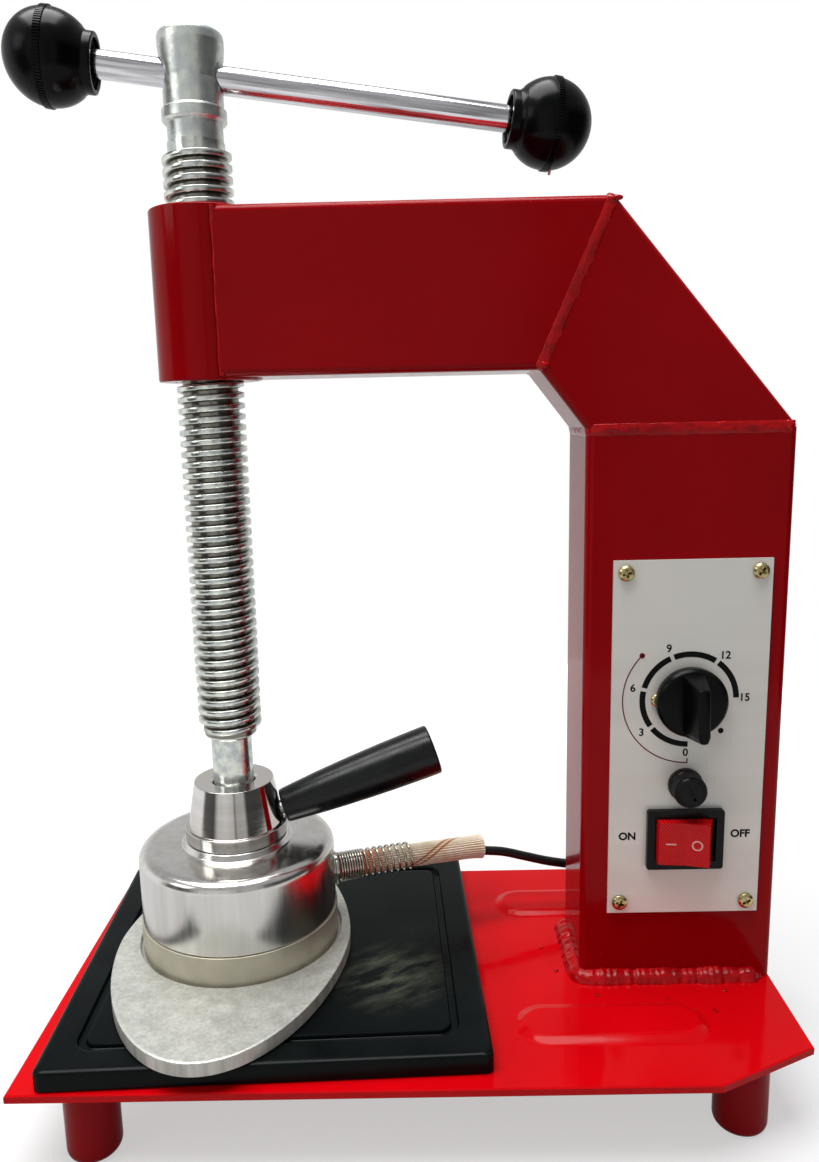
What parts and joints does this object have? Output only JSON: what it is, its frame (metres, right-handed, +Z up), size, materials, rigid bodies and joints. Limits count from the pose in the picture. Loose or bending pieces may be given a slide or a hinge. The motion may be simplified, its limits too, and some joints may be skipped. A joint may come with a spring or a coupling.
{
  "type": "tire vulcanizer",
  "caption": "Bench tire vulcanizer: red C-frame screw press with a heated head on an oval die plate, cross bar with ball knobs, timer, fuse and switch on the column.",
  "frame": {"origin": "on the bench under the middle of the base plate", "axes": "+Z up along the press screw, +X from the screw towards the column, the control panel faces -Y"},
  "size_m": [0.297, 0.162, 0.4206],
  "materials": {
    "red_paint": "glossy red enamel",
    "zinc_steel": "zinc plated",
    "chromed_steel": "chromed and polished",
    "polished_steel": "polished, with fine upright streaks on the cup",
    "machined_aluminium": "machined, dull from heat",
    "cast_aluminium": "sand cast, edge machined",
    "black_rubber": "satin, slightly dusty",
    "black_plastic": "smooth black phenolic",
    "panel_aluminium": "printed satin sheet",
    "yellow_zinc": "yellow zinc plated",
    "red_plastic": "clear red",
    "glass_fibre": "braided sleeve",
    "spring_steel": "bright wire",
    "bronze": "turned bronze",
    "mineral_board": "pressed mineral board",
    "clear_glass": "clear fuse tube",
    "white_plastic": "moulded"
  },
  "bodies": {
    "frame": {"base_plate": "red_paint", "foot_front_left": "red_paint", "foot_front_right": "red_paint", "foot_rear_left": "red_paint", "foot_rear_right": "red_paint", "column": "red_paint", "elbow": "red_paint", "arm": "red_paint", "screw_boss": "red_paint", "base_pad": "black_rubber", "control_panel": "panel_aluminium", "panel_screw_1": "yellow_zinc", "panel_screw_2": "yellow_zinc", "panel_screw_3": "yellow_zinc", "panel_screw_4": "yellow_zinc", "timer_screw_1": "yellow_zinc", "timer_screw_2": "yellow_zinc", "timer_body": "white_plastic", "switch_housing": "black_plastic", "fuse_holder": "black_plastic", "fuse_nut": "zinc_steel", "lead_grommet": "black_rubber", "mains_gland": "black_plastic", "terminal_block": "white_plastic", "lead_cable": "black_rubber"},
    "carriage": {"thrust_washer": "bronze", "retaining_ring": "spring_steel"},
    "screw": {"press_screw": "zinc_steel"},
    "bar": {"cross_bar": "chromed_steel", "bar_knob_left": "black_plastic", "bar_knob_right": "black_plastic"},
    "heater": {"heater_hub": "polished_steel", "heater_cover": "polished_steel", "heating_plate": "machined_aluminium", "heating_element": "mineral_board", "insulation_ring": "mineral_board", "thermostat": "black_plastic", "hub_screw_1": "zinc_steel", "hub_screw_2": "zinc_steel", "hub_screw_3": "zinc_steel", "heater_handle": "black_plastic", "handle_stud": "zinc_steel", "lead_ferrule": "zinc_steel", "lead_spring": "spring_steel", "lead_sleeve": "glass_fibre"},
    "die": {"die_plate": "cast_aluminium"},
    "timer_dial": {"timer_knob": "black_plastic", "timer_shaft": "zinc_steel"},
    "rocker": {"rocker": "red_plastic"},
    "fuse_carrier": {"fuse_cartridge": "clear_glass"},
    "fuse_cap": {"fuse_cap": "black_plastic"}
  },
  "joints": [
    {"name": "head_lift", "type": "slide", "parent": "frame", "child": "carriage", "axis": [0, 0, 1], "range_m": [0, 0.127], "deforming": ["lead_cable"]},
    {"name": "screw_turn", "type": "hinge", "parent": "carriage", "child": "screw", "pos_m": [-0.0771, 0.0044, 0.2], "axis": [0, 0, 1], "range_deg": [0, 10800]},
    {"name": "bar_slide", "type": "slide", "parent": "screw", "child": "bar", "axis": [0.9878, 0.1073, -0.1132], "range_m": [-0.107, 0.0205]},
    {"name": "heater_swivel", "type": "hinge", "parent": "carriage", "child": "heater", "pos_m": [-0.0771, 0.0044, 0.1], "axis": [0, 0, 1], "range_deg": [-30, 30]},
    {"name": "die_turn", "type": "hinge", "parent": "frame", "child": "die", "pos_m": [-0.0771, 0.0044, 0.046], "axis": [0, 0, 1], "continuous": true},
    {"name": "timer_turn", "type": "hinge", "parent": "frame", "child": "timer_dial", "pos_m": [0.1102, -0.025, 0.1577], "axis": [0, 1, 0], "range_deg": [-43, 272]},
    {"name": "rocker_tilt", "type": "hinge", "parent": "frame", "child": "rocker", "pos_m": [0.11, -0.014, 0.099], "axis": [0, 0, 1], "range_deg": [0, 20]},
    {"name": "fuse_pull", "type": "slide", "parent": "frame", "child": "fuse_carrier", "axis": [0, -1, 0], "range_m": [0, 0.028]},
    {"name": "fuse_cap_turn", "type": "hinge", "parent": "fuse_carrier", "child": "fuse_cap", "pos_m": [0.1096, -0.022, 0.1222], "axis": [0, -1, 0], "range_deg": [0, 90]}
  ],
  "couplings": [
    {"joint": "head_lift", "follows": "screw_turn", "m_per_rad": 0.00067323}
  ]
}
